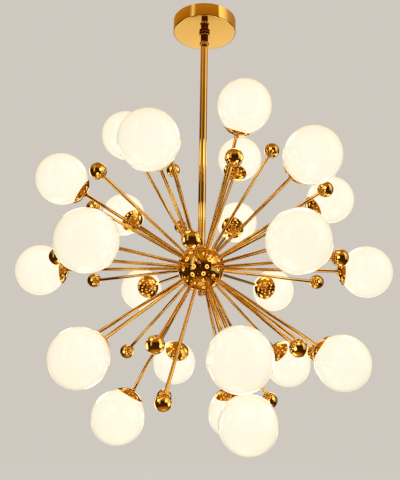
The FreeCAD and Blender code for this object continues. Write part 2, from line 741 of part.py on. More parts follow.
def lamps():
    """Lampholder, lamp base with its two pins, and the capsule lamp itself."""
    out, low, high, hole = "holder_dia / 2", "holder_base", "holder_end", "arm_hole"
    blind = f"{low} + holder_thread + thread_fit"
    outline = [(hole, low), (out, low), (out, high), (0, high), (0, blind), (hole, blind)]
    holder = turned("holder_blank", outline)
    sockets = []
    pins = []
    for side in (-1, 1):
        x = f"{side} * lamp_pin_spacing / 2"
        deep = "lamp_pin_length + thread_fit"
        wide = "lamp_pin_dia / 2 + thread_fit"
        sockets.append(rod("pin_socket", wide, deep, x=x, z=f"{high} - ({deep})"))
        start = "lamp_base_start - lamp_pin_length"
        pins.append(rod("lamp_pin", "lamp_pin_dia / 2", "lamp_pin_length + past", x=x, z=start))
    holder = cut("holder", holder, group("pin_sockets", sockets))
    keep(spread("holder_set", holder, LIGHTS), "lampholders")
    puck = rod("lamp_puck", "lamp_base_dia / 2", "lamp_base_length", z="lamp_base_start")
    base = fused("lamp_base", [puck] + pins)
    keep(spread("lamp_base_set", base, LIGHTS), "lamp_bases")
    radius, tip = "capsule_dia / 2", "capsule_end"
    capsule = [
        (0, "capsule_start"),
        (radius, "capsule_start"),
        (radius, f"{tip} - {radius}", radius, "ccw"),
        (0, tip),
    ]
    keep(spread("capsule_set", turned("capsule", capsule), LIGHTS), "lamp_capsules")


def globes():
    """Opal glass balls, open where the gripper goes in; each is a piece of its own."""
    outline = [
        ("mouth_radius", "reach - sqrt(globe_radius^2 - mouth_radius^2)", "globe_radius", "ccw"),
        (0, "reach + globe_radius"),
        (0, "reach + globe_inner", "globe_inner", "cw"),
        ("mouth_radius", "reach - sqrt(globe_inner^2 - mouth_radius^2)"),
    ]
    pattern = turned("globe_pattern", outline)
    for number, turn in enumerate(LIGHTS, start=1):
        keep(copy(pattern, "globe_copy", z="0 - hub_drop", turn=turn), f"globe_{number:02d}")


ceiling_bracket()
nipple_and_nuts()
earth_terminal()
terminal_block()
supply_cable()
swivel()
canopy_and_collar()
rod_and_cable()
hub()
hub_fixings()
arms()
accent_balls()
caps()
grippers()
lamps()
globes()

doc.recompute()
for item in doc.Objects:
    if "Invalid" in item.State or "Error" in item.State:
        raise RuntimeError(f"{item.Label} could not be made: {item.State}")
shapes = {item.Label: Part.getShape(item) for item in pieces}
for label, shape in shapes.items():
    if shape.isNull() or not shape.isValid() or not shape.Solids:
        raise RuntimeError(f"{label} has no sound shape")
os.makedirs("parts", exist_ok=True)
for label, shape in shapes.items():
    shape.exportStep(f"parts/{label}.step")
print(f"{len(shapes)} sub-parts, {sum(len(shape.Solids) for shape in shapes.values())} solids")
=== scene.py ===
# %% [markdown]
# # A sputnik chandelier
# A hub ball hangs from the ceiling on a rod and carries 48 thin arms in five rings. Every second
# arm ends in a glowing opal globe behind a shallow brass cap, and the others end in a small brass ball.
# The engineering model is loaded first and never reshaped: it says where everything is, and the
# smooth, finished pieces made below stand in for its plain ones.

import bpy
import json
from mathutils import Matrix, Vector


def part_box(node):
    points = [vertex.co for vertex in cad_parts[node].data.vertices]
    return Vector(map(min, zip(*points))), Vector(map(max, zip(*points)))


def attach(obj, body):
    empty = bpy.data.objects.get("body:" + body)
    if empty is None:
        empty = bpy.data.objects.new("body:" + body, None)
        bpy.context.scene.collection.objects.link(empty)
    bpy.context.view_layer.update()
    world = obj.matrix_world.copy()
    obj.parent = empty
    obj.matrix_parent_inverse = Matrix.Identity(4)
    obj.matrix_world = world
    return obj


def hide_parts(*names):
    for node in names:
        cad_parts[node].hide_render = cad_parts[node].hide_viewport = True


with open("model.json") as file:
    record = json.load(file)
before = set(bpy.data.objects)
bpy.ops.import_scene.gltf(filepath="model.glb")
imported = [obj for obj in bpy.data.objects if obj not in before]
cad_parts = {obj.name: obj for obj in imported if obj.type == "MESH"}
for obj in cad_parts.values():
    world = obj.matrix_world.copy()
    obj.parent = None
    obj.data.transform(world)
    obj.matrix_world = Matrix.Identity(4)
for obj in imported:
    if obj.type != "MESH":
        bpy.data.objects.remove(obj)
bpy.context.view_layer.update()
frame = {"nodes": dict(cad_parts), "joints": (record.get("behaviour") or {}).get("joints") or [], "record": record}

# %% Tools used throughout
import json
import math

import bmesh
import bpy
from mathutils import Matrix, Vector

scene = bpy.context.scene
scene.view_settings.view_transform = "Standard"
MM = 0.001

# %% [markdown]
# ## Measuring the model
# Places and outer sizes are measured: the hub's centre is the middle of the round wire junction
# inside it, and the way that each arm points is the way that its globe pulls off. A size along an
# arm is read from the vertices that lie close to that arm's axis. What no box says, such as a wall,
# a bore or a gap, is a named number beside the piece that has it.

# %% The hub, and the ways that the arms point
def middle(node):
    """The centre of a node's box."""
    low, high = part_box(node)
    return (low + high) / 2


def half_width(node):
    """Half the width of a node's box: the outer radius of a round upright piece."""
    low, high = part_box(node)
    return (high.x - low.x) / 2


hub = middle("wire_junction")
hub_radius = half_width("hub_upper_shell")
light_ways = {
    joint["child"]: Vector(joint["axis"]).normalized()
    for joint in frame["joints"]
    if joint["name"].startswith("globe")
}
print("hub centre", tuple(round(c, 4) for c in hub), "lights", len(light_ways))

# %% The accent arms stand midway between the lights of each ring
rings = {}
for way in light_ways.values():
    rings.setdefault(round(way.z, 3), []).append(way)
accent_ways = []
for ring in rings.values():
    half_step = Matrix.Rotation(math.pi / len(ring), 3, "Z")
    accent_ways += [half_step @ way for way in ring]
print("rings", {height: len(ring) for height, ring in rings.items()}, "accents", len(accent_ways))

# %% Sizes along one arm
def along_arm(node, way, wide):
    """Where a node starts and ends along an arm, from the hub centre, and its radius about the arm."""
    lengths, radii = [], []
    for vertex in frame["nodes"][node].data.vertices:
        spot = vertex.co - hub
        length = spot.dot(way)
        radius = (spot - way * length).length
        if length > 0 and radius < wide:
            lengths.append(length)
            radii.append(radius)
    return min(lengths), max(lengths), max(radii)


first_body, first_light = next(iter(light_ways.items()))
arm_start, arm_end, arm_radius = along_arm("light_arms", first_light, 5 * MM)
accent_start, accent_end, _ = along_arm("accent_arms", accent_ways[0], 5 * MM)
_, ball_end, ball_radius = along_arm("accent_balls", accent_ways[0], 20 * MM)
cap_start, cap_rim, cap_radius = along_arm("fitter_caps", first_light, 30 * MM)
collar_start, collar_end, collar_radius = along_arm("cap_collars", first_light, 6 * MM)
globe_start, globe_end, globe_radius = along_arm(first_body, first_light, 60 * MM)
globe_centre = globe_end - globe_radius
mouth_radius = math.sqrt(globe_radius**2 - (globe_centre - globe_start) ** 2)
radii_found = {"globe": globe_radius, "mouth": mouth_radius, "cap": cap_radius, "ball": ball_radius}
print("radii", {part: round(size, 4) for part, size in radii_found.items()})

# %% [markdown]
# ## Camera
# The photograph looks up a little at the chandelier from in front of and below its hub. The lens and
# the place were worked out from where the hub, the canopy and the globes lie in the picture.
# The camera leans by a fraction of a degree, as a hand-held one does.

# %% The camera
camera = bpy.data.objects.new("camera", bpy.data.cameras.new("camera"))
camera.data.sensor_fit = "HORIZONTAL"
camera.data.sensor_width = 36
camera.data.lens = 52.785
camera_spot = Vector((0.00066, -1.1269, -0.7262))
look_left, look_up, lean = (math.radians(angle) for angle in (0.184, 12.38, 0.86))
turn = Matrix.Rotation(look_left, 4, "Z") @ Matrix.Rotation(math.pi / 2 + look_up, 4, "X")
camera.matrix_world = Matrix.Translation(camera_spot) @ turn @ Matrix.Rotation(lean, 4, "Z")
scene.collection.objects.link(camera)
scene.camera = camera

# %% [markdown]
# ## A small kit for node trees
# Every finish below is a few nodes joined by links. These helpers keep each tree short: one adds
# a node and sets its values, and the others are the textures, sums and blends that most trees need.

# %% Helpers for nodes
def add_node(tree, kind, settings=None, **values):
    """Adds a node; settings are its own properties, and values go to its input sockets by name."""
    node = tree.nodes.new(kind)
    for name, value in (settings or {}).items():
        setattr(node, name, value)
    for name, value in values.items():
        node.inputs[name.replace("_", " ")].default_value = value
    return node


def noise(tree, where, scale, detail=2.0, roughness=0.5):
    """A noise texture; returns its 0 to 1 output."""
    node = add_node(tree, "ShaderNodeTexNoise", Scale=scale, Detail=detail, Roughness=roughness)
    tree.links.new(where, node.inputs["Vector"])
    return node.outputs["Fac"]


def remap(tree, value, low, high, to_low, to_high):
    """Stretches a value from one range to another, and clamps it."""
    node = add_node(tree, "ShaderNodeMapRange")
    for index, number in enumerate((low, high, to_low, to_high), start=1):
        node.inputs[index].default_value = number
    tree.links.new(value, node.inputs[0])
    return node.outputs[0]


def arithmetic(tree, operation, first, second):
    """One sum of two sockets or numbers."""
    node = add_node(tree, "ShaderNodeMath", {"operation": operation})
    for index, value in enumerate((first, second)):
        if isinstance(value, (int, float)):
            node.inputs[index].default_value = value
        else:
            tree.links.new(value, node.inputs[index])
    return node.outputs[0]


def blend_colours(tree, share, first, second):
    """A colour between two; share is a socket, and each colour is a socket or plain numbers."""
    node = add_node(tree, "ShaderNodeMix", {"data_type": "RGBA"})
    tree.links.new(share, node.inputs["Factor"])
    for name, value in (("A", first), ("B", second)):
        socket = [item for item in node.inputs if item.name == name and item.type == "RGBA"][0]
        if isinstance(value, tuple):
            socket.default_value = (*value, 1)
        else:
            tree.links.new(value, socket)
    return [item for item in node.outputs if item.type == "RGBA"][0]


# %% [markdown]
# ## Studio
# A hanging lamp has no table under it, so the stage is a plain pale floor that fades into a plain
# pale surround. It's graded: pale below and round about, where it's the background, and amber high
# overhead. Polished metal has no colour of its own to show except what it mirrors, so that
# grading and the cards below are what give every ball a light and a dark side.

# %% The surround
FLOOR_COLOUR = (0.93, 0.90, 0.85)
BACKDROP = (0.62, 0.58, 0.525)
OVERHEAD = (0.30, 0.165, 0.05)
GRADING = ((-0.45, FLOOR_COLOUR), (-0.12, BACKDROP), (0.6, BACKDROP), (0.86, OVERHEAD))
world = bpy.data.worlds.new("surround")
world.use_nodes = True
scene.world = world
tree = world.node_tree
tree.nodes.clear()
direction = add_node(tree, "ShaderNodeTexCoord").outputs["Generated"]
rise = add_node(tree, "ShaderNodeSeparateXYZ")
tree.links.new(direction, rise.inputs[0])
share = remap(tree, rise.outputs["Z"], -1, 1, 0, 1)
ramp = add_node(tree, "ShaderNodeValToRGB")
ramp.color_ramp.interpolation = "EASE"
for _ in GRADING[2:]:
    ramp.color_ramp.elements.new(0.5)
for stop, (height, colour) in zip(ramp.color_ramp.elements, GRADING):
    stop.position = (height + 1) / 2
    stop.color = (*colour, 1)
tree.links.new(share, ramp.inputs[0])
seen_colour = ramp.outputs["Color"]
path = add_node(tree, "ShaderNodeLightPath")
mirrored = arithmetic(tree, "MAXIMUM", path.outputs["Is Glossy Ray"], path.outputs["Is Transmission Ray"])
shown = arithmetic(tree, "MAXIMUM", path.outputs["Is Camera Ray"], mirrored)
seen = add_node(tree, "ShaderNodeBackground", Strength=1.0)
tree.links.new(seen_colour, seen.inputs["Color"])
lighting = add_node(tree, "ShaderNodeBackground", Color=(1, 0.985, 0.96, 1), Strength=0.45)
either = add_node(tree, "ShaderNodeMixShader")
tree.links.new(shown, either.inputs[0])
tree.links.new(lighting.outputs[0], either.inputs[1])
tree.links.new(seen.outputs[0], either.inputs[2])
surround_out = add_node(tree, "ShaderNodeOutputWorld")
tree.links.new(either.outputs[0], surround_out.inputs[0])

# %% The floor, which fades out towards its edge
FLOOR_DROP = 1.35
FLOOR_RADIUS = 5.0
FADE_START, FADE_END = 0.9, 2.4
floor_mesh = bpy.data.meshes.new("floor")
shape = bmesh.new()
bmesh.ops.create_circle(shape, cap_ends=True, segments=96, radius=FLOOR_RADIUS)
bmesh.ops.translate(shape, verts=shape.verts, vec=(0, 0, -FLOOR_DROP))
shape.to_mesh(floor_mesh)
shape.free()
floor = bpy.data.objects.new("floor", floor_mesh)
scene.collection.objects.link(floor)
paint = bpy.data.materials.new("floor_paint")
paint.use_nodes = True
tree = paint.node_tree
surface = tree.nodes["Principled BSDF"]
surface.inputs["Base Color"].default_value = (*FLOOR_COLOUR, 1)
surface.inputs["Roughness"].default_value = 0.9
surface.inputs["Specular IOR Level"].default_value = 0.2
spot = add_node(tree, "ShaderNodeTexCoord").outputs["Object"]
flat = add_node(tree, "ShaderNodeVectorMath", {"operation": "MULTIPLY"})
flat.inputs[1].default_value = (1, 1, 0)
tree.links.new(spot, flat.inputs[0])
distance = add_node(tree, "ShaderNodeVectorMath", {"operation": "LENGTH"})
tree.links.new(flat.outputs[0], distance.inputs[0])
fade = add_node(tree, "ShaderNodeMapRange", {"interpolation_type": "SMOOTHSTEP"})
fade.inputs[1].default_value = FADE_START
fade.inputs[2].default_value = FADE_END
tree.links.new(distance.outputs["Value"], fade.inputs[0])
clear = add_node(tree, "ShaderNodeBsdfTransparent")
mix = add_node(tree, "ShaderNodeMixShader")
tree.links.new(fade.outputs[0], mix.inputs[0])
tree.links.new(surface.outputs[0], mix.inputs[1])
tree.links.new(clear.outputs[0], mix.inputs[2])
tree.links.new(mix.outputs[0], tree.nodes["Material Output"].inputs[0])
floor_mesh.materials.append(paint)


# %% The lamps
def soft_light(name, spot, wide, high, watts, aim=hub):
    """A rectangular soft light that faces a point. Mirrors don't show it, only the surround."""
    lamp = bpy.data.lights.new(name, "AREA")
    lamp.shape = "RECTANGLE"
    lamp.size = wide
    lamp.size_y = high
    lamp.energy = watts
    holder = bpy.data.objects.new(name, lamp)
    facing = (aim - Vector(spot)).to_track_quat("-Z", "Y").to_matrix().to_4x4()
    holder.matrix_world = Matrix.Translation(spot) @ facing
    holder.visible_glossy = False
    scene.collection.objects.link(holder)


soft_light("key_light", (2.0, -0.9, 0.75), wide=0.9, high=1.1, watts=20)
soft_light("strip_light", (-1.5, -1.9, 0.55), wide=0.22, high=1.4, watts=6)
soft_light("back_light", (-0.9, 2.1, 0.4), wide=0.9, high=0.9, watts=15)

# %% [markdown]
# ## Dark cards
# A mirror with nothing dark to show looks like pale paint, so a photographer who shoots polished
# metal stands dark cards round it, out of the picture. One is a ring and one lies on the floor.
# Only reflections see them: they cast no shadow, and the camera looks through them. Each point of
# a card holds how much it covers and how amber it is. Where the ring's cover fades, the metal
# shows the pale surround instead, and two white strips in those gaps make the bands brighter.

# %% The cards' paint
CARD_DARK = (0.035, 0.014, 0.004)
CARD_AMBER = (0.50, 0.27, 0.035)
CARD_WHITE = (1.5, 1.38, 1.15)


def card_paint(name, first, second):
    """A paint that goes from one colour to another with the tone, and fades where the cover does."""
    material = bpy.data.materials.new(name)
    material.use_nodes = True
    tree = material.node_tree
    shader = tree.nodes["Principled BSDF"]
    shader.inputs["Base Color"].default_value = (0, 0, 0, 1)
    shader.inputs["Specular IOR Level"].default_value = 0
    shader.inputs["Emission Strength"].default_value = 1.0
    tone = add_node(tree, "ShaderNodeAttribute", {"attribute_name": "tone"})
    shade = blend_colours(tree, tone.outputs["Fac"], first, second)
    tree.links.new(shade, shader.inputs["Emission Color"])
    cover = add_node(tree, "ShaderNodeAttribute", {"attribute_name": "cover"})
    open_air = add_node(tree, "ShaderNodeBsdfTransparent")
    mix = add_node(tree, "ShaderNodeMixShader")
    tree.links.new(cover.outputs["Fac"], mix.inputs[0])
    tree.links.new(open_air.outputs[0], mix.inputs[1])
    tree.links.new(shader.outputs[0], mix.inputs[2])
    tree.links.new(mix.outputs[0], tree.nodes["Material Output"].inputs[0])
    return material


dark_paint = card_paint("dark_paint", CARD_DARK, CARD_AMBER)
white_paint = card_paint("white_paint", CARD_WHITE, CARD_WHITE)


# %% Making a card from rows of points
def card(name, rows, paint=dark_paint):
    """A sheet through rows of points, each an x, y, z, cover and tone, that only mirrors see."""
    sheet = bmesh.new()
    cover_layer = sheet.verts.layers.float.new("cover")
    tone_layer = sheet.verts.layers.float.new("tone")
    grid = []
    for row in rows:
        grid.append([])
        for x, y, z, covers, ambers in row:
            point = sheet.verts.new((x, y, z))
            point[cover_layer] = covers
            point[tone_layer] = ambers
            grid[-1].append(point)
    for one, other in zip(grid, grid[1:]):
        for step in range(len(one) - 1):
            sheet.faces.new((one[step], one[step + 1], other[step + 1], other[step]))
    mesh = bpy.data.meshes.new(name)
    sheet.to_mesh(mesh)
    sheet.free()
    mesh.materials.append(paint)
    holder = bpy.data.objects.new(name, mesh)
    scene.collection.objects.link(holder)
    holder.visible_camera = False
    holder.visible_diffuse = False
    holder.visible_transmission = False
    holder.visible_shadow = False


def between(stops, step):
    """Fills in pairs of numbers, evenly, so that the first ones are at most a step apart."""
    filled = [stops[0]]
    for (start, low), (end, high) in zip(stops, stops[1:]):
        count = max(1, math.ceil((end - start) / step))
        filled += [
            (start + (end - start) * part / count, low + (high - low) * part / count)
            for part in range(1, count + 1)
        ]
    return filled


def around(radius, degrees):
    """The x and y of a point at a distance and a bearing from the rod."""
    angle = math.radians(degrees)
    return radius * math.cos(angle), radius * math.sin(angle)


# %% The ring: degrees round it with the cover there, and heights with the tone there
CARD_STEP = 6
CARD_RADIUS = 3.2
CARD_FOOT = 0.02 - FLOOR_DROP
RING_COVER = (
    (-145, 1), (-139, 0), (-127, 0), (-121, 1), (-41, 1),
    (-37, 0), (-16, 0.1), (30, 0.85), (60, 1), (215, 1),
)
RING_TONE = ((CARD_FOOT, 0.1), (-0.9, 0), (0.3, 0), (1.2, 0.3), (2.0, 0.95), (6.0, 0.9))
ring_stops = between(RING_COVER, CARD_STEP)
ring_rows = [
    [(*around(CARD_RADIUS, degrees), height, covers, ambers) for degrees, covers in ring_stops]
    for height, ambers in RING_TONE
]
card("dark_ring", ring_rows)
print("ring:", len(ring_rows), "rows of", len(ring_stops), "points")

# %% Two white strips just inside the gaps of the ring, for the two bright bands on the canopy
STRIP_RADIUS = 3
STRIP_FADE = ((-0.6, 0), (0.3, 1), (3.0, 1), (4.0, 0))
STRIP_COVER = (
    ((-138, 0), (-135, 0.45), (-131, 0.45), (-128, 0)),
    ((-39, 0), (-37, 1), (-22, 0.8), (4, 0)),
)
for number, cover_stops in enumerate(STRIP_COVER, start=1):
    strip_stops = between(cover_stops, CARD_STEP)
    strip_rows = [
        [(*around(STRIP_RADIUS, degrees), height, covers * share, 0) for degrees, covers in strip_stops]
        for height, share in STRIP_FADE
    ]
    card(f"white_strip_{number}", strip_rows, white_paint)

# %% The floor card: radii with the tone there. It has a small hole in the middle, and fades out far behind
FLOOR_TONE = ((0.175, 0.9), (0.35, 0.9), (0.8, 0.05), (CARD_RADIUS, 0))
RADIUS_STEP = 0.2
CUT_START, CUT_END = 1.25, 1.6
floor_rows = []
for radius, ambers in between(FLOOR_TONE, RADIUS_STEP):
    row = []
    for degrees in range(0, 361, CARD_STEP):
        x, y = around(radius, degrees)
        covers = min(1, max(0, (CUT_END - y) / (CUT_END - CUT_START)))
        row.append((x, y, CARD_FOOT, covers, ambers))
    floor_rows.append(row)
card("dark_floor", floor_rows)

# %% [markdown]
# ## Shared surface effects
# Two effects are each a shader group, built once: the handling marks turn up on several finishes, and the dust
# on the brass. Handling leaves faint smudges and hair-fine polishing lines on anything bright. Dust settles on
# what faces up. Groups put out only masks and heights; the shaders themselves stay in the materials.

# %% Handling marks
def handling_marks():
    """A group that puts out soft smudges, and fine polishing lines as a height."""
    tree = bpy.data.node_groups.new("handling_marks", "ShaderNodeTree")
    tree.interface.new_socket("Smudge Scale", in_out="INPUT", socket_type="NodeSocketFloat")
    tree.interface.new_socket("Line Scale", in_out="INPUT", socket_type="NodeSocketFloat")
    tree.interface.new_socket("Smudges", in_out="OUTPUT", socket_type="NodeSocketFloat")
    tree.interface.new_socket("Lines", in_out="OUTPUT", socket_type="NodeSocketFloat")
    entry = tree.nodes.new("NodeGroupInput")
    leave = tree.nodes.new("NodeGroupOutput")
    where = add_node(tree, "ShaderNodeTexCoord").outputs["Object"]
    soft = add_node(tree, "ShaderNodeTexNoise", Detail=4.0, Roughness=0.62, Distortion=0.6)
    tree.links.new(where, soft.inputs["Vector"])
    tree.links.new(entry.outputs["Smudge Scale"], soft.inputs["Scale"])
    smudges = remap(tree, soft.outputs["Fac"], 0.48, 0.72, 0, 1)
    tree.links.new(smudges, leave.inputs["Smudges"])
    stretched = add_node(tree, "ShaderNodeMapping", Scale=(1, 1, 0.06))
    tree.links.new(where, stretched.inputs["Vector"])
    fine = add_node(tree, "ShaderNodeTexNoise", Detail=3.0, Roughness=0.7)
    tree.links.new(stretched.outputs[0], fine.inputs["Vector"])
    tree.links.new(entry.outputs["Line Scale"], fine.inputs["Scale"])
    tree.links.new(fine.outputs["Fac"], leave.inputs["Lines"])
    return tree


marks_group = handling_marks()


# %% Dust
def settled_dust():
    """A group that puts out how much dust lies on a surface: most where it faces up."""
    tree = bpy.data.node_groups.new("settled_dust", "ShaderNodeTree")
    tree.interface.new_socket("Amount", in_out="INPUT", socket_type="NodeSocketFloat")
    tree.interface.new_socket("Dust", in_out="OUTPUT", socket_type="NodeSocketFloat")
    entry = tree.nodes.new("NodeGroupInput")
    leave = tree.nodes.new("NodeGroupOutput")
    place = add_node(tree, "ShaderNodeTexCoord")
    upward = add_node(tree, "ShaderNodeSeparateXYZ")
    tree.links.new(place.outputs["Normal"], upward.inputs[0])
    facing = remap(tree, upward.outputs["Z"], 0.35, 1.0, 0, 1)
    specks = remap(tree, noise(tree, place.outputs["Object"], 900, 3, 0.7), 0.42, 0.75, 0.3, 1)
    patches = remap(tree, noise(tree, place.outputs["Object"], 28, 3), 0.3, 0.7, 0.5, 1)
    lying = arithmetic(tree, "MULTIPLY", facing, arithmetic(tree, "MULTIPLY", specks, patches))
    tree.links.new(arithmetic(tree, "MULTIPLY", lying, entry.outputs["Amount"]), leave.inputs["Dust"])
    return tree


dust_group = settled_dust()


# %% What each material starts from
def start_material(name):
    """A new material; returns it with its tree, its shader and the Object coordinates."""
    material = bpy.data.materials.new(name)
    material.use_nodes = True
    tree = material.node_tree
    shader = tree.nodes["Principled BSDF"]
    where = add_node(tree, "ShaderNodeTexCoord").outputs["Object"]
    return material, tree, shader, where


def marks(tree, smudge_scale, line_scale):
    """Places the handling marks in a material; returns their node."""
    node = tree.nodes.new("ShaderNodeGroup")
    node.node_tree = marks_group
    node.inputs["Smudge Scale"].default_value = smudge_scale
    node.inputs["Line Scale"].default_value = line_scale
    return node


def dust(tree, amount):
    """Places the dust in a material; returns its mask."""
    node = tree.nodes.new("ShaderNodeGroup")
    node.node_tree = dust_group
    node.inputs["Amount"].default_value = amount
    return node.outputs["Dust"]


def feed(tree, value, shader, name):
    """Joins a colour or a value to one of the shader's own sockets."""
    tree.links.new(value, shader.inputs[name])


def raise_surface(tree, shader, height, strength, depth):
    """A bump from a height, in metres of depth."""
    bump = add_node(tree, "ShaderNodeBump", Strength=strength, Distance=depth)
    tree.links.new(height, bump.inputs["Height"])
    tree.links.new(bump.outputs[0], shader.inputs["Normal"])


# %% [markdown]
# ## Polished brass
# The metal is brass, polished to a mirror and lacquered. Its colour is the colour of its
# reflections, so a metallic shader with a deep gold base does nearly all of it. Smudges raise the
# roughness in soft patches, the polishing lines are a very shallow bump, and a little dust
# dulls and pales what faces up.

# %% Brass
GOLD = (0.97, 0.58, 0.14)
DEEP_GOLD = (0.92, 0.52, 0.115)
DUST_COLOUR = (0.72, 0.66, 0.55)


def polished_brass():
    """Mirror-polished, lacquered brass with smudges and a little dust."""
    material, tree, shader, where = start_material("polished_brass")
    shader.inputs["Metallic"].default_value = 1.0
    worn = marks(tree, 38, 520)
    tone = remap(tree, noise(tree, where, 9, 3), 0.35, 0.65, 0, 1)
    metal = blend_colours(tree, tone, GOLD, DEEP_GOLD)
    lying = dust(tree, 0.10)
    feed(tree, blend_colours(tree, lying, metal, DUST_COLOUR), shader, "Base Color")
    gloss = remap(tree, worn.outputs["Smudges"], 0, 1, 0.03, 0.08)
    rough = arithmetic(tree, "ADD", gloss, arithmetic(tree, "MULTIPLY", lying, 0.4))
    feed(tree, rough, shader, "Roughness")
    raise_surface(tree, shader, worn.outputs["Lines"], 0.04, 0.00001)
    return material


# %% [markdown]
# ## Opal glass
# The globes are milk glass, lit from inside. Light comes out all over them, so most of the look
# is emission, with only a little white of their own. The clear outer skin is a coat with a warm
# tint: near the edge of a globe one looks through more of it, so the glow warms there just as
# it does in real cased glass. The end away from the hub is a little warmer too, and faint clouds in
# the glass keep it from looking like plastic. A lit globe is brighter than a picture can show:
# straight on it's plain white, but the brass mirrors it about twice as bright, as a hot dot.

# %% Opal
MIRRORED_GLOW = (2.1, 2.0, 1.75)


def opal_glass():
    """Lit milk glass under a clear coat."""
    material, tree, shader, where = start_material("opal_glass")
    shader.inputs["Base Color"].default_value = (0.16, 0.15, 0.13, 1)
    shader.inputs["IOR"].default_value = 1.5
    shader.inputs["Coat Weight"].default_value = 0.8
    shader.inputs["Specular IOR Level"].default_value = 0.2
    shader.inputs["Coat Roughness"].default_value = 0.03
    shader.inputs["Coat Tint"].default_value = (1.0, 0.95, 0.80, 1)
    shader.inputs["Emission Strength"].default_value = 1.0
    height = add_node(tree, "ShaderNodeAttribute", {"attribute_name": "turned_height"})
    toward_pole = remap(tree, height.outputs["Fac"], 0.55, 1.0, 0, 1)
    glow = blend_colours(tree, toward_pole, (0.97, 0.955, 0.90), (0.96, 0.93, 0.86))
    clouds = remap(tree, noise(tree, where, 30, 3), 0.3, 0.7, 0, 0.10)
    cloudy = blend_colours(tree, clouds, glow, (0.80, 0.75, 0.64))
    mirrored = add_node(tree, "ShaderNodeLightPath").outputs["Is Glossy Ray"]
    feed(tree, blend_colours(tree, mirrored, cloudy, MIRRORED_GLOW), shader, "Emission Color")
    smudged = marks(tree, 24, 300)
    gloss = remap(tree, smudged.outputs["Smudges"], 0, 1, 0.08, 0.20)
    feed(tree, gloss, shader, "Roughness")
    return material


# %% [markdown]
# ## Finishes of the working parts
# Inside are zinc-plated steel, spring steel, white ceramic, a moulded terminal block, cable
# sheath and the little capsule lamps. They show from above, through the open back of the
# canopy, and where a globe is pulled off its cap. Each gets the grain that it really has.

# %% Steel, ceramic, moulding, cable and lamp glass
def plated_steel():
    """Zinc plate, with its spangle."""
    material, tree, shader, where = start_material("plated_steel")
    shader.inputs["Metallic"].default_value = 1.0
    spangle = add_node(tree, "ShaderNodeTexVoronoi", Scale=260.0)
    tree.links.new(where, spangle.inputs["Vector"])
    tone = remap(tree, spangle.outputs["Distance"], 0, 0.6, 0, 1)
    feed(tree, blend_colours(tree, tone, (0.60, 0.60, 0.58), (0.72, 0.71, 0.66)), shader, "Base Color")
    worn = marks(tree, 60, 400)
    feed(tree, remap(tree, worn.outputs["Smudges"], 0, 1, 0.26, 0.42), shader, "Roughness")
    raise_surface(tree, shader, worn.outputs["Lines"], 0.25, 0.00008)
    return material


def spring_steel():
    """Bright strip, slightly coloured by tempering."""
    material, tree, shader, where = start_material("spring_steel")
    shader.inputs["Metallic"].default_value = 1.0
    temper = remap(tree, noise(tree, where, 120, 2), 0.35, 0.65, 0, 1)
    feed(tree, blend_colours(tree, temper, (0.50, 0.49, 0.47), (0.58, 0.55, 0.49)), shader, "Base Color")
    worn = marks(tree, 90, 700)
    feed(tree, remap(tree, worn.outputs["Smudges"], 0, 1, 0.20, 0.34), shader, "Roughness")
    raise_surface(tree, shader, worn.outputs["Lines"], 0.2, 0.00005)
    return material


def ceramic():
    """White ceramic with a fine grain."""
    material, tree, shader, where = start_material("ceramic")
    body = remap(tree, noise(tree, where, 700, 4, 0.7), 0.4, 0.7, 0, 1)
    feed(tree, blend_colours(tree, body, (0.80, 0.78, 0.73), (0.70, 0.67, 0.61)), shader, "Base Color")
    feed(tree, remap(tree, noise(tree, where, 90, 3), 0.3, 0.7, 0.35, 0.5), shader, "Roughness")
    raise_surface(tree, shader, body, 0.3, 0.00006)
    return material


def moulding():
    """Matt moulded plastic."""
    material, tree, shader, where = start_material("moulding")
    grain = noise(tree, where, 1400, 2)
    tone = remap(tree, noise(tree, where, 45, 2), 0.35, 0.65, 0, 1)
    feed(tree, blend_colours(tree, tone, (0.76, 0.74, 0.68), (0.70, 0.68, 0.62)), shader, "Base Color")
    feed(tree, remap(tree, grain, 0.3, 0.7, 0.40, 0.55), shader, "Roughness")
    raise_surface(tree, shader, grain, 0.3, 0.00005)
    return material


def cable_sheath():
    """Soft matt sheath."""
    material, tree, shader, where = start_material("cable_sheath")
    grain = noise(tree, where, 1100, 3)
    tone = remap(tree, noise(tree, where, 60, 2), 0.35, 0.65, 0, 1)
    feed(tree, blend_colours(tree, tone, (0.62, 0.58, 0.48), (0.55, 0.51, 0.42)), shader, "Base Color")
    feed(tree, remap(tree, grain, 0.3, 0.7, 0.42, 0.58), shader, "Roughness")
    raise_surface(tree, shader, grain, 0.25, 0.00004)
    return material


def lamp_glass():
    """A lit, lightly frosted capsule."""
    material, tree, shader, where = start_material("lamp_glass")
    shader.inputs["Base Color"].default_value = (0.30, 0.27, 0.20, 1)
    shader.inputs["Coat Weight"].default_value = 1.0
    shader.inputs["Emission Strength"].default_value = 1.0
    frost = remap(tree, noise(tree, where, 220, 3), 0.3, 0.7, 0, 1)
    feed(tree, blend_colours(tree, frost, (1.0, 0.90, 0.66), (0.94, 0.80, 0.52)), shader, "Emission Color")
    feed(tree, remap(tree, frost, 0, 1, 0.2, 0.35), shader, "Roughness")
    return material


finishes = {
    make.__name__: make()
    for make in (
        polished_brass, opal_glass, plated_steel, spring_steel, ceramic, moulding, cable_sheath, lamp_glass,
    )
}
print("finishes:", ", ".join(finishes))

# %% [markdown]
# ## The lathe
# Nearly everything on a chandelier is spun or turned, so one helper makes it: an outline of radius
# and height points is turned about Z. Round stretches of an outline are arcs, so highlights roll
# over an edge instead of breaking at it. Corners sharper than 30 degrees stay sharp.

# %% Lathe and arc
SHARP = math.radians(30)


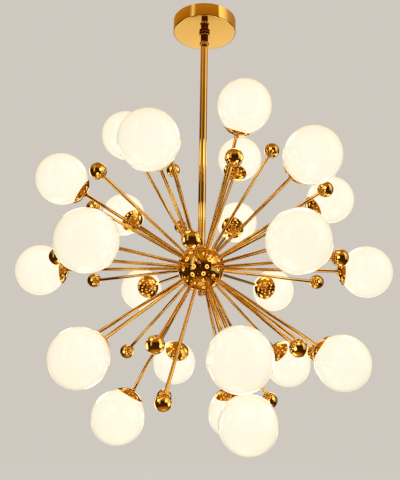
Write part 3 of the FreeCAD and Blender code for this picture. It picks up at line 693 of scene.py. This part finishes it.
def arc(radius, height, bend, start, end, steps):
    """Points on a round stretch about (radius, height); 0 degrees faces outwards, 90 up."""
    points = []
    for step in range(steps + 1):
        angle = math.radians(start + (end - start) * step / steps)
        points.append((radius + bend * math.cos(angle), height + bend * math.sin(angle)))
    return points


def lathe(name, outline, segments=96):
    """Turns an outline about Z. One that ends on the axis is solid, and any other is a closed ring."""
    shape = bmesh.new()
    layer = shape.verts.layers.float.new("turned_height")
    low = min(height for _, height in outline)
    high = max(height for _, height in outline)
    circles = []
    for radius, height in outline:
        count = segments if radius > 1e-6 else 1
        circle = []
        for step in range(count):
            angle = 2 * math.pi * step / segments
            vertex = shape.verts.new((radius * math.cos(angle), radius * math.sin(angle), height))
            vertex[layer] = (height - low) / (high - low)
            circle.append(vertex)
        circles.append(circle)
    pairs = list(zip(circles, circles[1:]))
    if len(circles[0]) > 1 or len(circles[-1]) > 1:
        pairs.append((circles[-1], circles[0]))
    for one, other in pairs:
        for step in range(segments):
            corners = [one[step % len(one)], one[(step + 1) % len(one)]]
            corners += [other[(step + 1) % len(other)], other[step % len(other)]]
            corners = list(dict.fromkeys(corners))
            if len(corners) > 2:
                shape.faces.new(corners)
    bmesh.ops.recalc_face_normals(shape, faces=shape.faces)
    mesh = bpy.data.meshes.new(name)
    shape.to_mesh(mesh)
    shape.free()
    mesh.shade_smooth()
    mesh.set_sharp_from_angle(angle=SHARP)
    return mesh


# %% Putting a finished mesh in the model
def fit(mesh, name, body, nodes, finish):
    """Makes a piece that rides on a body, stands for CAD nodes and has a finish."""
    piece = bpy.data.objects.new(name, mesh)
    scene.collection.objects.link(piece)
    mesh.materials.clear()
    mesh.materials.append(finishes[finish])
    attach(piece, body)
    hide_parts(*nodes)
    print(name, len(mesh.polygons), "faces")


# %% [markdown]
# ## Canopy
# The canopy is a shallow spun cup over the ceiling bracket, open at the back. Its wall is thin,
# its rim is square with the outer edge broken, and its lower edge is a tight radius, which is what
# draws the fine dark line round the bright underside. It's one outline, turned.

# %% Canopy
WALL = 1.5 * MM
EDGE = 2.0 * MM
RIM_BREAK = 0.2 * MM
SLEEVE = 8.5 * MM  # its outer radius, under the canopy
SLIDE_GAP = 0.3 * MM
canopy_low, canopy_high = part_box("canopy")
canopy_radius = half_width("canopy")
canopy_hole = SLEEVE + SLIDE_GAP
inner_edge = EDGE - WALL
canopy_outline = (
    [(canopy_hole, canopy_low.z)]
    + arc(canopy_radius - EDGE, canopy_low.z + EDGE, EDGE, -90, 0, 8)
    + [(canopy_radius, canopy_high.z - RIM_BREAK), (canopy_radius - RIM_BREAK, canopy_high.z)]
    + [(canopy_radius - WALL, canopy_high.z)]
    + arc(canopy_radius - EDGE, canopy_low.z + EDGE, inner_edge, 0, -90, 4)
    + [(canopy_hole, canopy_low.z + WALL)]
)
fit(lathe("canopy_cup", canopy_outline, 160), "canopy_cup", "canopy", ["canopy"], "polished_brass")

# %% [markdown]
# ## Collar and sleeve
# The collar grips the sleeve and holds the canopy up; its outer corners are rounded. The sleeve
# ends in a fat bead, with the mouth that the rod's ball swings in. Both are turned.

# %% Collar
COLLAR_EDGE = 0.6 * MM
COLLAR_GAP = 0.08 * MM
collar_low, collar_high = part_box("collar_ring")
collar_out = half_width("collar_ring")
bore = SLEEVE + COLLAR_GAP
collar_outline = (
    [(bore, collar_low.z)]
    + arc(collar_out - COLLAR_EDGE, collar_low.z + COLLAR_EDGE, COLLAR_EDGE, -90, 0, 6)
    + arc(collar_out - COLLAR_EDGE, collar_high.z - COLLAR_EDGE, COLLAR_EDGE, 0, 90, 6)
    + [(bore, collar_high.z)]
)
fit(lathe("collar_turned", collar_outline), "collar_turned", "collar", ["collar_ring"], "polished_brass")

# %% Sleeve
BEAD = 3.0 * MM
SLEEVE_BORE = 6.8 * MM
MOUTH = 5.6 * MM  # the radius of the opening at the sleeve's foot
SEAT_MOUTH = 5.0 * MM  # the radius where the ball's seat ends, above the opening
PIVOT_RISE = 6.0 * MM  # the ball's centre, above the sleeve's foot
sleeve_low, sleeve_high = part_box("swivel_sleeve")
bead_middle = half_width("swivel_sleeve") - BEAD
seat_turn = math.degrees(math.acos(SEAT_MOUTH / SLEEVE_BORE))
bead_turn = math.degrees(math.acos((SLEEVE - bead_middle) / BEAD))
pivot = sleeve_low.z + PIVOT_RISE
sleeve_outline = (
    [(SLEEVE, sleeve_high.z), (SLEEVE_BORE, sleeve_high.z)]
    + arc(0, pivot, SLEEVE_BORE, 0, -seat_turn, 12)
    + [(MOUTH, sleeve_low.z)]
    + arc(bead_middle, sleeve_low.z + BEAD, BEAD, -90, bead_turn, 20)
)
sleeve_mesh = lathe("sleeve_turned", sleeve_outline)
fit(sleeve_mesh, "sleeve_turned", "ceiling", ["swivel_sleeve"], "polished_brass")

# %% [markdown]
# ## Rod
# A plain drawn tube. Its two ends are broken with a small chamfer, so that a thin line of light
# shows where it meets the hub and where it leaves the sleeve.

# %% Rod
rod_low, rod_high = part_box("downrod")
rod_radius = half_width("downrod")
THREAD = 5.05 * MM  # the radius of the hole for the M10 thread
BREAK = 0.4 * MM
rod_outline = [
    (THREAD, rod_low.z),
    (rod_radius - BREAK, rod_low.z),
    (rod_radius, rod_low.z + BREAK),
    (rod_radius, rod_high.z - BREAK),
    (rod_radius - BREAK, rod_high.z),
    (THREAD, rod_high.z),
]
fit(lathe("rod_tube", rod_outline, 64), "rod_tube", "pendant", ["downrod"], "polished_brass")

# %% [markdown]
# ## Hub
# The hub is two spun shells that meet at a seam below the middle. Each is a piece of a sphere
# with a real wall. The edges at the seam are broken by a hair, so it reads as a fine line.

# %% The upper shell
HUB_WALL = 2.0 * MM
HAIR = 0.12 * MM
SEAT_GAP = 0.15 * MM
upper_low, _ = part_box("hub_upper_shell")
seam = upper_low.z - hub.z
inner = hub_radius - HUB_WALL
seam_radius = math.sqrt(hub_radius**2 - seam**2) - HAIR


def latitude(height, radius):
    """The angle on a sphere at a height above its centre."""
    return math.degrees(math.asin(height / radius))


rod_seat = rod_radius + SEAT_GAP
top_turn = math.degrees(math.acos(rod_seat / hub_radius))
bore_turn = math.degrees(math.acos(THREAD / inner))
upper_outline = (
    arc(0, hub.z, hub_radius, latitude(seam + HAIR, hub_radius), top_turn, 40)
    + [(rod_seat, rod_low.z), (THREAD, rod_low.z)]
    + arc(0, hub.z, inner, bore_turn, latitude(seam, inner), 30)
    + [(seam_radius, hub.z + seam)]
)
fit(lathe("hub_top", upper_outline, 128), "hub_top", "pendant", ["hub_upper_shell"], "polished_brass")

# %% The lower shell, with the lip inside the seam and the flat that the finial seats on
LIP_GAP = 0.1 * MM
LIP_WALL = 1.0 * MM
finial_radius = half_width("finial")
finial_low, finial_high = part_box("finial")
STUD = 3.0 * MM  # the radius of the finial's stud
HOLE_GAP = 0.05 * MM
FINIAL_SUNK = 0.6 * MM
_, lower_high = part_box("hub_lower_shell")
finial_seat = finial_radius + SEAT_GAP
finial_face = hub.z - hub_radius + FINIAL_SUNK
stud_hole = STUD + HOLE_GAP
lip_out = math.sqrt(inner**2 - seam**2) - LIP_GAP
lip_in = lip_out - LIP_WALL
finial_turn = -math.degrees(math.acos(finial_seat / hub_radius))
lip_turn = -math.degrees(math.acos(lip_in / inner))
stud_turn = -math.degrees(math.acos(stud_hole / inner))
lower_outline = (
    arc(0, hub.z, hub_radius, finial_turn, latitude(seam - HAIR, hub_radius), 30)
    + [(seam_radius, hub.z + seam), (lip_out, hub.z + seam)]
    + [(lip_out, lower_high.z), (lip_in, lower_high.z)]
    + arc(0, hub.z, inner, lip_turn, stud_turn, 24)
    + [(stud_hole, finial_face), (finial_seat, finial_face)]
)
fit(lathe("hub_bottom", lower_outline, 128), "hub_bottom", "pendant", ["hub_lower_shell"], "polished_brass")

# %% [markdown]
# ## Finial
# A small turned button closes the hub from below. Its end is a soft dome.

# %% Finial
dome = finial_radius * 0.75
finial_outline = (
    [(0, finial_low.z)]
    + arc(finial_radius - dome, finial_low.z + dome, dome, -90, 0, 10)
    + arc(finial_radius - BREAK, finial_face - BREAK, BREAK, 0, 90, 3)
    + [(STUD, finial_face), (STUD, finial_high.z), (0, finial_high.z)]
)
fit(lathe("finial_button", finial_outline, 48), "finial_button", "pendant", ["finial"], "polished_brass")

# %% [markdown]
# ## One of each, forty-eight times
# The arms and what they carry repeat, so Geometry Nodes lay them out. The input is a mesh with a
# point at the hub centre for each arm, and every point holds the way that its arm
# runs. The tree puts a copy of a pattern on each point, turned so that its Z axis runs that way,
# makes the copies real and gives them their finish. The patterns are turned on the lathe, with
# their heights measured from the hub centre.

# %% The tree that lays out the arms
def one_per_arm():
    """Geometry nodes: one copy of a pattern along each arm."""
    tree = bpy.data.node_groups.new("one_per_arm", "GeometryNodeTree")
    tree.interface.new_socket("Arms", in_out="INPUT", socket_type="NodeSocketGeometry")
    tree.interface.new_socket("Pattern", in_out="INPUT", socket_type="NodeSocketObject")
    tree.interface.new_socket("Finish", in_out="INPUT", socket_type="NodeSocketMaterial")
    tree.interface.new_socket("Pieces", in_out="OUTPUT", socket_type="NodeSocketGeometry")
    entry = tree.nodes.new("NodeGroupInput")
    leave = tree.nodes.new("NodeGroupOutput")
    way = add_node(tree, "GeometryNodeInputNamedAttribute", {"data_type": "FLOAT_VECTOR"}, Name="way")
    aim = add_node(tree, "FunctionNodeAlignRotationToVector", {"axis": "Z"})
    pattern = tree.nodes.new("GeometryNodeObjectInfo")
    copies = tree.nodes.new("GeometryNodeInstanceOnPoints")
    real = tree.nodes.new("GeometryNodeRealizeInstances")
    coat = tree.nodes.new("GeometryNodeSetMaterial")
    tree.links.new(way.outputs["Attribute"], aim.inputs["Vector"])
    tree.links.new(entry.outputs["Pattern"], pattern.inputs["Object"])
    tree.links.new(entry.outputs["Arms"], copies.inputs["Points"])
    tree.links.new(pattern.outputs["Geometry"], copies.inputs["Instance"])
    tree.links.new(aim.outputs["Rotation"], copies.inputs["Rotation"])
    tree.links.new(copies.outputs["Instances"], real.inputs["Geometry"])
    tree.links.new(real.outputs["Geometry"], coat.inputs["Geometry"])
    tree.links.new(entry.outputs["Finish"], coat.inputs["Material"])
    tree.links.new(coat.outputs["Geometry"], leave.inputs["Pieces"])
    return tree


arm_layout = one_per_arm()


# %% Using the tree
def socket_of(tree, name):
    """The identifier of a tree's input, by its name."""
    for item in tree.interface.items_tree:
        if item.in_out == "INPUT" and item.name == name:
            return item.identifier


def spread(pattern_mesh, name, ways, body, nodes, finish):
    """One piece made of a pattern along each of these ways."""
    arms = bpy.data.meshes.new(name + "_points")
    arms.from_pydata([tuple(hub)] * len(ways), [], [])
    held = arms.attributes.new("way", "FLOAT_VECTOR", "POINT")
    for item, way in zip(held.data, ways):
        item.vector = way
    carrier = bpy.data.objects.new(name + "_carrier", arms)
    pattern = bpy.data.objects.new(name + "_pattern", pattern_mesh)
    scene.collection.objects.link(carrier)
    scene.collection.objects.link(pattern)
    layout = carrier.modifiers.new("layout", "NODES")
    layout.node_group = arm_layout
    layout[socket_of(arm_layout, "Pattern")] = pattern
    layout[socket_of(arm_layout, "Finish")] = finishes[finish]
    evaluated = carrier.evaluated_get(bpy.context.evaluated_depsgraph_get())
    mesh = bpy.data.meshes.new_from_object(evaluated)
    mesh.name = name
    bpy.data.objects.remove(carrier)
    bpy.data.objects.remove(pattern)
    fit(mesh, name, body, nodes, finish)


light_list = list(light_ways.values())

# %% [markdown]
# ## Arms
# Both kinds of arm are 6 mm: a tube that carries the leads to each lamp, and a plain rod to each
# brass ball. They run from inside the hub to inside what they carry, so both ends are hidden.

# %% Arms
ARM_BORE = 1.8 * MM
ARM_SEGMENTS = 24
tube_outline = [
    (ARM_BORE, arm_start),
    (arm_radius, arm_start),
    (arm_radius, arm_end),
    (ARM_BORE, arm_end),
]
tube_mesh = lathe("tube", tube_outline, ARM_SEGMENTS)
spread(tube_mesh, "light_tubes", light_list, "pendant", ["light_arms"], "polished_brass")
rod_shape = [(0, accent_start), (arm_radius, accent_start), (arm_radius, accent_end), (0, accent_end)]
rod_mesh = lathe("rod", rod_shape, ARM_SEGMENTS)
spread(rod_mesh, "accent_rods", accent_ways, "pendant", ["accent_arms"], "polished_brass")

# %% [markdown]
# ## Brass balls
# Each accent arm screws into a solid ball. The hole has a small chamfer, which gives the fine
# dark ring where arm and ball meet. The balls are the best mirrors on the lamp, so their outline
# has more points than its size needs.

# %% Accent balls
CHAMFER = 0.35 * MM
ball_centre = ball_end - ball_radius
hole = arm_radius + HOLE_GAP
wide_hole = hole + CHAMFER
hole_turn = -math.degrees(math.acos(wide_hole / ball_radius))
hole_top = ball_centre + ball_radius * math.sin(math.radians(hole_turn))
hole_end = accent_end + HOLE_GAP
ball_outline = (
    [(0, hole_end), (hole, hole_end), (hole, hole_top + CHAMFER)]
    + arc(0, ball_centre, ball_radius, hole_turn, 90, 26)[:-1]
    + [(0, ball_end)]
)
ball_mesh = lathe("ball", ball_outline, 48)
spread(ball_mesh, "accent_spheres", accent_ways, "pendant", ["accent_balls"], "polished_brass")

# %% [markdown]
# ## Caps
# Behind each globe is a shallow spun dome. It's a piece of a sphere with a thin wall, and its rim
# is rolled over, which catches a bright line against the glass. A small collar sits on the
# arm behind it.

# %% Caps
CAP_WALL = 0.8 * MM
RIM_SHORT = 0.8  # degrees that the inside stops short of the rolled rim
cap_depth = cap_rim - cap_start
cap_sphere = (cap_radius**2 + cap_depth**2) / (2 * cap_depth)
cap_middle = cap_rim - cap_depth + cap_sphere
rim_turn = math.degrees(math.asin((cap_rim - cap_middle) / cap_sphere))
crown_turn = -math.degrees(math.acos(hole / cap_sphere))
inside = cap_sphere - CAP_WALL
inner_crown_turn = -math.degrees(math.acos(hole / inside))
cap_outline = (
    arc(0, cap_middle, cap_sphere, crown_turn, rim_turn, 20)[:-1]
    + arc(cap_radius - CAP_WALL / 2, cap_rim - CAP_WALL / 2, CAP_WALL / 2, -40, 150, 8)
    + arc(0, cap_middle, inside, rim_turn - RIM_SHORT, inner_crown_turn, 16)
)
cap_mesh = lathe("cap", cap_outline, 72)
spread(cap_mesh, "cap_domes", light_list, "pendant", ["fitter_caps"], "polished_brass")

# %% Collars behind the caps
ROUND = 0.5 * MM
collar_shape = (
    [(hole, collar_start)]
    + arc(collar_radius - ROUND, collar_start + ROUND, ROUND, -90, 0, 4)
    + [(collar_radius, collar_end), (hole, collar_end)]
)
collar_mesh = lathe("arm_collar", collar_shape, 32)
spread(collar_mesh, "arm_collars", light_list, "pendant", ["cap_collars"], "polished_brass")

# %% [markdown]
# ## Globes
# Each globe is a blown ball with a real wall, and an open mouth that its spring cup goes into.
# Each comes off by itself, so it's a piece of its own on its own body. The same tree makes them,
# with one arm at a time.

# %% Globes
GLOBE_WALL = 2.0 * MM
mouth_turn = -math.degrees(math.acos(mouth_radius / globe_radius))
glass_inside = globe_radius - GLOBE_WALL
inside_turn = -math.degrees(math.acos(mouth_radius / glass_inside))
globe_outline = (
    arc(0, globe_centre, globe_radius, mouth_turn, 90, 34)[:-1]
    + [(0, globe_centre + globe_radius), (0, globe_centre + glass_inside)]
    + arc(0, globe_centre, glass_inside, 90, inside_turn, 30)[1:]
)
globe_mesh = lathe("globe", globe_outline, 72)
for body, way in light_ways.items():
    spread(globe_mesh, body + "_glass", [way], body, [body], "opal_glass")

# %% [markdown]
# ## Finishes on the pieces that stay
# The working parts keep their own shapes. The record says which slot each is in, and each
# slot has its finish.

# %% Give every remaining node its finish
for part in frame["record"]["subparts"]:
    mesh = frame["nodes"][part["node"]].data
    mesh.materials.clear()
    mesh.materials.append(finishes[part["material_slot"]])
